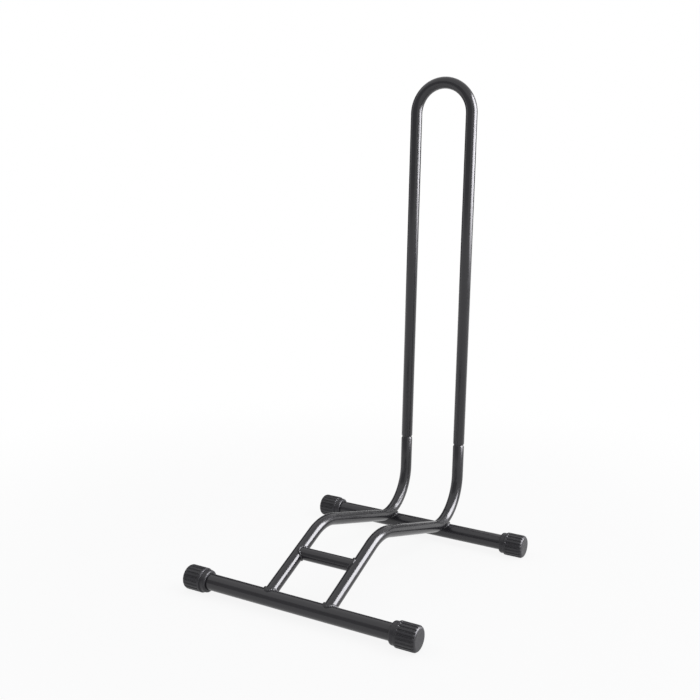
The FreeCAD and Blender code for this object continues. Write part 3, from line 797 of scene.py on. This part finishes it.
# %% Cap section
CAP_R = 16.5 * MM
CAP_BODY = 28 * MM
CAP_LENGTH = 36 * MM
CAP_END_WALL = 3 * MM
COLLAR_R = 14.9 * MM
PUSH_FIT = 0.02 * MM  # between the foot tube and the cap's bore
BORE_R = FOOT_R + PUSH_FIT
CAP_CORNERS = [
    (0.0, 0.0, 0.0),
    (0.0, CAP_R, 4.6 * MM),
    (CAP_BODY, CAP_R, 0.9 * MM),
    (CAP_BODY, COLLAR_R, 0.5 * MM),
    (CAP_LENGTH, COLLAR_R, 2.8 * MM),
    (CAP_LENGTH, BORE_R, 0.3 * MM),
    (CAP_END_WALL, BORE_R, 0.3 * MM),
    (CAP_END_WALL, 0.0, 0.0),
]
CORNER_STEPS = 8
WALL_STEP = 0.6 * MM  # between two points on a straight


def rounded_section(corners):
    """Points of a section, with an arc at each corner and even steps along each straight."""
    points = [Vector(corners[0][:2])]
    for before, (along, out, radius), after in zip(corners, corners[1:], corners[2:]):
        corner = Vector((along, out))
        back = (Vector(before[:2]) - corner).normalized()
        on = (Vector(after[:2]) - corner).normalized()
        start, centre = corner + radius * back, corner + radius * (back + on)
        straight = start - points[-1]
        steps = max(1, round(straight.length / WALL_STEP))
        points += [points[-1] + straight * number / steps for number in range(1, steps + 1)]
        for number in range(1, CORNER_STEPS + 1):
            swing = math.pi / 2 * number / CORNER_STEPS
            points.append(centre - radius * (math.cos(swing) * on + math.sin(swing) * back))
    return points + [Vector(corners[-1][:2])]


section_points = rounded_section(CAP_CORNERS)
print("points in the cap's section:", len(section_points))

# %% Caps
CAP_SIDES = 320
FOOT_TIP = CAD_BOX[1][0]  # the outer end of each cap
flute_values = {
    "Count": 20,
    "Depth": 1.2 * MM,
    "Half width": 1.45 * MM,
    "Soft edge": 1.0 * MM,
    "Start": 1.2 * MM,
    "End": 25.2 * MM,
    "Wall from": COLLAR_R + 0.8 * MM,
    "Floor": -FOOT_Z,
    "Material": PLASTIC,
}
for row, foot_y in (("front", FRONT_Y), ("rear", REAR_Y)):
    for name, side in (("left", -1), ("right", 1)):
        places = [(along, 0.0, out) for along, out in section_points]
        edges = [(number, number + 1) for number in range(len(places) - 1)]
        cap = new_object(f"cap_{row}_{name}_moulded", places, edges)
        lathe = cap.modifiers.new("lathe", "SCREW")
        lathe.axis = "X"
        lathe.steps = lathe.render_steps = CAP_SIDES
        lathe.use_merge_vertices = True
        run_nodes(cap, flute_tree, flute_values)
        bake(cap)
        turn = Matrix.Rotation(math.pi, 4, "Z") if side > 0 else Matrix.Identity(4)
        cap.data.transform(Matrix.Translation((side * FOOT_TIP, foot_y, FOOT_Z)) @ turn)
        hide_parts(f"cap_{row}_{name}")
        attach(cap, "base")

# %% [markdown]
# ## Floor and background
# The rack stands on a plain white floor in front of nothing. The floor scatters light like paper. What the
# camera and the reflections see of it is lifted towards white: most of the way near the rack, where a trace
# of its soft shadow stays, and wholly about a metre away, so that the picture has no horizon. The world
# does the same.

# %% Floor
FLOOR_HALF = 12.0  # metres from its middle to each side
FLOOR_PAPER = "#e8e8ea"
SHADOW_SPAN = (0.35, 1.1)  # metres from the middle, over which the lift grows to plain white
CAMERA_LIFT = 0.88  # how much of the floor under the rack is plain white to the camera
MIRROR_LIFT = 0.78  # and in reflections, where more of the shadow darkens the tubes' undersides


def rays_that_show_white(tree, rays):
    """One for rays that show a background: from the camera, in a reflection or through glass."""
    seen_or_mirrored = maths(tree, "MAXIMUM", rays["Is Camera Ray"], rays["Is Glossy Ray"])
    return maths(tree, "MAXIMUM", seen_or_mirrored, rays["Is Transmission Ray"])


paper = bpy.data.materials.new("floor_paper_white")
paper.use_nodes = True
tree = paper.node_tree
tree.nodes.clear()
rays = add_node(tree, "ShaderNodeLightPath").outputs
shown = rays_that_show_white(tree, rays)
near_lift = add_node(
    tree,
    "ShaderNodeMapRange",
    {"Value": rays["Is Camera Ray"], "To Min": MIRROR_LIFT, "To Max": CAMERA_LIFT},
)
spot = add_node(tree, "ShaderNodeTexCoord").outputs["Object"]
distance = add_node(tree, "ShaderNodeVectorMath", {0: spot}, operation="LENGTH")
far = add_node(
    tree,
    "ShaderNodeMapRange",
    {
        "Value": distance.outputs["Value"],
        "From Min": SHADOW_SPAN[0],
        "From Max": SHADOW_SPAN[1],
        "To Min": near_lift.outputs[0],
        "To Max": 1.0,
    },
    interpolation_type="SMOOTHSTEP",
)
lift = maths(tree, "MULTIPLY", shown, far.outputs[0])
matt = add_node(tree, "ShaderNodeBsdfDiffuse", {"Color": linear(FLOOR_PAPER)})
white = add_node(tree, "ShaderNodeEmission", {"Color": (1, 1, 1, 1), "Strength": 1.0})
seen = add_node(tree, "ShaderNodeMixShader", {0: lift, 1: matt.outputs[0], 2: white.outputs[0]})
add_node(tree, "ShaderNodeOutputMaterial", {"Surface": seen.outputs[0]})

sheet = bmesh.new()
bmesh.ops.create_grid(sheet, x_segments=1, y_segments=1, size=FLOOR_HALF)
floor = new_object("floor", [], [])
sheet.to_mesh(floor.data)
sheet.free()
floor.data.materials.append(paper)
print("floor:", 2 * FLOOR_HALF, "m square, with", len(tree.nodes), "nodes in its material")

# %% World
WORLD_FILL = 0.7  # strength of the light that comes from all round
world = bpy.data.worlds.new("white_studio")
bpy.context.scene.world = world
world.use_nodes = True
tree = world.node_tree
tree.nodes.clear()
dim = add_node(tree, "ShaderNodeBackground", {"Color": (1, 1, 1, 1), "Strength": WORLD_FILL})
bright = add_node(tree, "ShaderNodeBackground", {"Color": (1, 1, 1, 1), "Strength": 1.0})
rays = add_node(tree, "ShaderNodeLightPath").outputs
shown = rays_that_show_white(tree, rays)
either = add_node(tree, "ShaderNodeMixShader", {0: shown, 1: dim.outputs[0], 2: bright.outputs[0]})
add_node(tree, "ShaderNodeOutputWorld", {"Surface": either.outputs[0]})
print("world fill:", WORLD_FILL)

# %% [markdown]
# ## Lamps and cards
# A glossy tube draws its surroundings in lines down its side, so a studio arranges them: a tall bright
# softbox gives the white streak, and dark cards behind the rack and behind the camera draw the tube's edges
# and keep its front dark. The softbox is two things here. A lamp lights the rack at a plain level, and a
# card, which only reflections see, stands in for its bright face, with the soft edge that its cloth gives. A
# weaker softbox on the left has no card, and only fills the shade.


# %% Lamps
def softbox(name, place, target, width, height, radiance):
    """A rectangular lamp, given by the brightness of its face. Reflections don't see it."""
    lamp = bpy.data.lights.new(name, "AREA")
    lamp.shape = "RECTANGLE"
    lamp.size, lamp.size_y = width, height
    lamp.energy = radiance * math.pi * width * height
    made = bpy.data.objects.new(name, lamp)
    made.location = place
    made.rotation_euler = (Vector(target) - Vector(place)).to_track_quat("-Z", "Y").to_euler()
    made.visible_glossy = False
    bpy.context.scene.collection.objects.link(made)


softbox(
    "softbox_right", place=(1.20, 0.45, 1.30), target=(0.0, 0.05, 0.2), width=0.9, height=0.9, radiance=2.6
)
softbox(
    "softbox_left", place=(-1.30, -0.70, 1.30), target=(0.0, 0.0, 0.2), width=0.9, height=0.9, radiance=1.2
)
print("lamps:", ", ".join(made.name for made in bpy.data.lights))


# %% Cards that only reflections see
HARD_EDGE = 0.001  # the fade of a card that has none, as a share of its height
LAMP_GLOW = 1.0  # a card brighter than this is worth sampling as a lamp


def card(name, ends, heights, glow, tint="#ffffff", fade=0.0):
    """An upright card between two places on the floor plan and two heights, seen only in gloss.

    Its glow fades in from the bottom edge, over a share of its height.
    """
    (x1, y1), (x2, y2) = ends
    bottom, top = heights
    mesh = bpy.data.meshes.new(name)
    mesh.from_pydata([(x1, y1, bottom), (x2, y2, bottom), (x2, y2, top), (x1, y1, top)], [], [(0, 1, 2, 3)])
    made = bpy.data.objects.new(name, mesh)
    bpy.context.scene.collection.objects.link(made)
    skin = bpy.data.materials.new(name)
    skin.use_nodes = True
    tree = skin.node_tree
    tree.nodes.clear()
    spot = add_node(tree, "ShaderNodeTexCoord").outputs["Object"]
    height = add_node(tree, "ShaderNodeSeparateXYZ", {0: spot}).outputs[2]
    eased = add_node(
        tree,
        "ShaderNodeMapRange",
        {
            "Value": height,
            "From Min": bottom,
            "From Max": bottom + max(fade, HARD_EDGE) * (top - bottom),
            "To Min": 0.0 if fade else glow,
            "To Max": glow,
        },
        interpolation_type="SMOOTHSTEP",
    )
    light = add_node(tree, "ShaderNodeEmission", {"Color": linear(tint), "Strength": eased.outputs[0]})
    add_node(tree, "ShaderNodeOutputMaterial", {"Surface": light.outputs[0]})
    mesh.materials.append(skin)
    skin.cycles.emission_sampling = "FRONT_BACK" if glow > LAMP_GLOW else "NONE"
    made.visible_camera = made.visible_diffuse = made.visible_shadow = made.visible_transmission = False


card(
    "softbox_face",
    ends=((1.37, 0.02), (0.95, 1.05)),
    heights=(0.02, 1.72),
    glow=18.5,
    tint="#fbfaff",
    fade=0.28,
)
card("dark_card_behind_right", ends=((1.6, 1.6), (-0.7, 2.3)), heights=(0.36, 0.60), glow=0.10)
card("dark_card_behind_left", ends=((-0.75, 2.3), (-2.2, 0.2)), heights=(0.0, 1.6), glow=0.10)
card("dark_card_behind_camera", ends=((-3.2, -1.6), (1.6, -2.6)), heights=(0.0, 1.9), glow=0.40)
print("cards: one bright and three dark")

# %% [markdown]
# ## Camera
# The camera stands in front of the rack and to its right, a little lower than the top of the hoop, and looks
# slightly down. It is placed by the angles of its view rather than aimed at a point, because the view is
# also rolled by a degree.

# %% Camera
VIEW_TURN = math.radians(30.05)  # to the right of straight ahead
VIEW_DOWN = math.radians(10.57)
VIEW_ROLL = math.radians(1.10)
LENS = 51.97
SENSOR_WIDTH = 36  # the lens and the sensor are in millimetres
CAMERA_PLACE = Vector((649.4, -1188.9, 567.6)) * MM

ahead = Vector((-math.sin(VIEW_TURN), math.cos(VIEW_TURN), 0))
look = ahead * math.cos(VIEW_DOWN) - Vector((0, 0, math.sin(VIEW_DOWN)))
level = Vector((math.cos(VIEW_TURN), math.sin(VIEW_TURN), 0))
upright = level.cross(look)
right = math.cos(VIEW_ROLL) * level + math.sin(VIEW_ROLL) * upright
up = right.cross(look)
camera = bpy.data.objects.new("camera", bpy.data.cameras.new("camera"))
camera.data.lens = LENS
camera.data.sensor_width = SENSOR_WIDTH
camera.matrix_world = Matrix.Translation(CAMERA_PLACE) @ Matrix((right, up, -look)).transposed().to_4x4()
bpy.context.scene.collection.objects.link(camera)
bpy.context.scene.camera = camera
bpy.context.scene.view_settings.view_transform = "Standard"
print("camera at", [round(value, 3) for value in CAMERA_PLACE])
